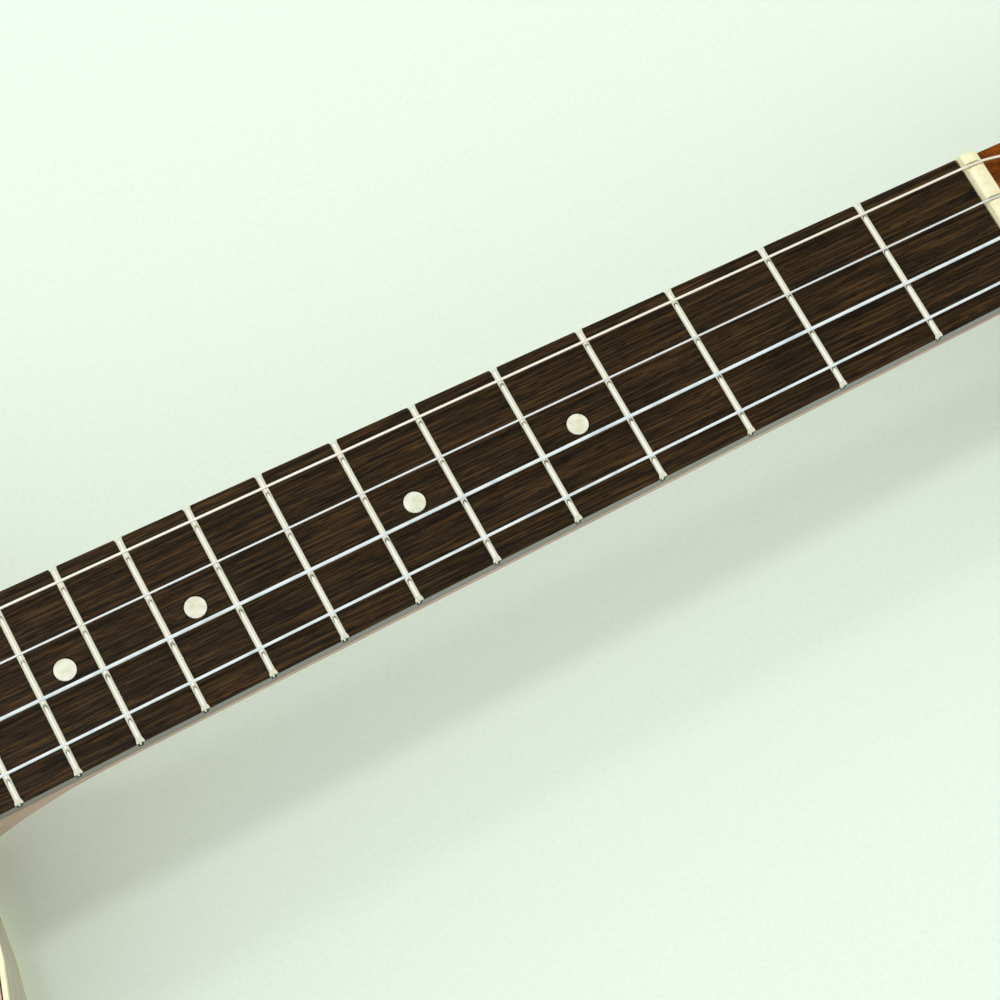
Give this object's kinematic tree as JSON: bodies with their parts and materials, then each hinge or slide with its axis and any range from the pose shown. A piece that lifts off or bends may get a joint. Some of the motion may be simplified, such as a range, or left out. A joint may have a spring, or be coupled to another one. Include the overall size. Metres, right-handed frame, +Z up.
{
  "type": "baritone ukulele",
  "caption": "Hollow-bodied baritone ukulele with a fretted neck, nylon and wound strings, and open geared tuners on a solid head.",
  "frame": {"origin": "centre of the bounding box, at the bottom, where the back plate rests", "axes": "+X towards the head, +Y to the bass side, +Z up, out of the face"},
  "size_m": [0.7754, 0.256, 0.0859],
  "materials": {
    "mahogany": "gloss varnish, amber to red-brown",
    "spruce": "bare",
    "rosewood": "oiled, open pores",
    "cream_plastic": "polished",
    "bone": "satin",
    "pearl": "polished, faint figure",
    "nickel_silver": "polished",
    "wound_wire": "fine wound wire",
    "nylon": "smooth, slightly clear",
    "chrome": "plated"
  },
  "bodies": {
    "root": {"soundboard": "mahogany", "back": "mahogany", "rib_bass": "mahogany", "rib_treble": "mahogany", "top_lining": "mahogany", "back_lining": "mahogany", "neck_block": "mahogany", "tail_block": "mahogany", "neck": "mahogany", "head_veneer": "mahogany", "top_brace_upper": "spruce", "top_brace_lower": "spruce", "back_brace_upper": "spruce", "back_brace_lower": "spruce", "fingerboard": "rosewood", "bridge": "rosewood", "top_binding": "cream_plastic", "back_binding": "cream_plastic", "rosette": "cream_plastic", "heel_cap": "cream_plastic", "nut": "bone", "saddle": "bone", "dot_05": "pearl", "dot_07": "pearl", "dot_10": "pearl", "dot_12": "pearl", "fret_01": "nickel_silver", "fret_02": "nickel_silver", "fret_03": "nickel_silver", "fret_04": "nickel_silver", "fret_05": "nickel_silver", "fret_06": "nickel_silver", "fret_07": "nickel_silver", "fret_08": "nickel_silver", "fret_09": "nickel_silver", "fret_10": "nickel_silver", "fret_11": "nickel_silver", "fret_12": "nickel_silver", "fret_13": "nickel_silver", "fret_14": "nickel_silver", "fret_15": "nickel_silver", "fret_16": "nickel_silver", "fret_17": "nickel_silver", "fret_18": "nickel_silver", "string_D": "wound_wire", "string_G": "wound_wire", "string_B": "nylon", "string_E": "nylon", "tuner_plate_D": "chrome", "tuner_plate_G": "chrome", "tuner_plate_B": "chrome", "tuner_plate_E": "chrome"},
    "post_D": {"tuner_post_D": "chrome"},
    "key_D": {"tuner_key_D": "chrome"},
    "post_G": {"tuner_post_G": "chrome"},
    "key_G": {"tuner_key_G": "chrome"},
    "post_B": {"tuner_post_B": "chrome"},
    "key_B": {"tuner_key_B": "chrome"},
    "post_E": {"tuner_post_E": "chrome"},
    "key_E": {"tuner_key_E": "chrome"}
  },
  "joints": [
    {"name": "key_D_turn", "type": "hinge", "parent": "root", "child": "key_D", "pos_m": [0.30154, 0.014, 0.04613], "axis": [0, 1, 0], "continuous": true},
    {"name": "post_D_turn", "type": "hinge", "parent": "root", "child": "post_D", "pos_m": [0.29723, 0.014, 0.06627], "axis": [0.2079, 0, 0.9781], "continuous": true},
    {"name": "key_G_turn", "type": "hinge", "parent": "root", "child": "key_G", "pos_m": [0.34458, 0.014, 0.03698], "axis": [0, 1, 0], "continuous": true},
    {"name": "post_G_turn", "type": "hinge", "parent": "root", "child": "post_G", "pos_m": [0.34027, 0.014, 0.05712], "axis": [0.2079, 0, 0.9781], "continuous": true},
    {"name": "key_B_turn", "type": "hinge", "parent": "root", "child": "key_B", "pos_m": [0.34458, -0.014, 0.03698], "axis": [0, 1, 0], "continuous": true},
    {"name": "post_B_turn", "type": "hinge", "parent": "root", "child": "post_B", "pos_m": [0.34027, -0.014, 0.05712], "axis": [0.2079, 0, 0.9781], "continuous": true},
    {"name": "key_E_turn", "type": "hinge", "parent": "root", "child": "key_E", "pos_m": [0.30154, -0.014, 0.04613], "axis": [0, 1, 0], "continuous": true},
    {"name": "post_E_turn", "type": "hinge", "parent": "root", "child": "post_E", "pos_m": [0.29723, -0.014, 0.06627], "axis": [0.2079, 0, 0.9781], "continuous": true}
  ],
  "couplings": [
    {"joint": "post_D_turn", "follows": "key_D_turn", "ratio": -0.071429},
    {"joint": "post_G_turn", "follows": "key_G_turn", "ratio": -0.071429},
    {"joint": "post_B_turn", "follows": "key_B_turn", "ratio": -0.071429},
    {"joint": "post_E_turn", "follows": "key_E_turn", "ratio": -0.071429}
  ]
}
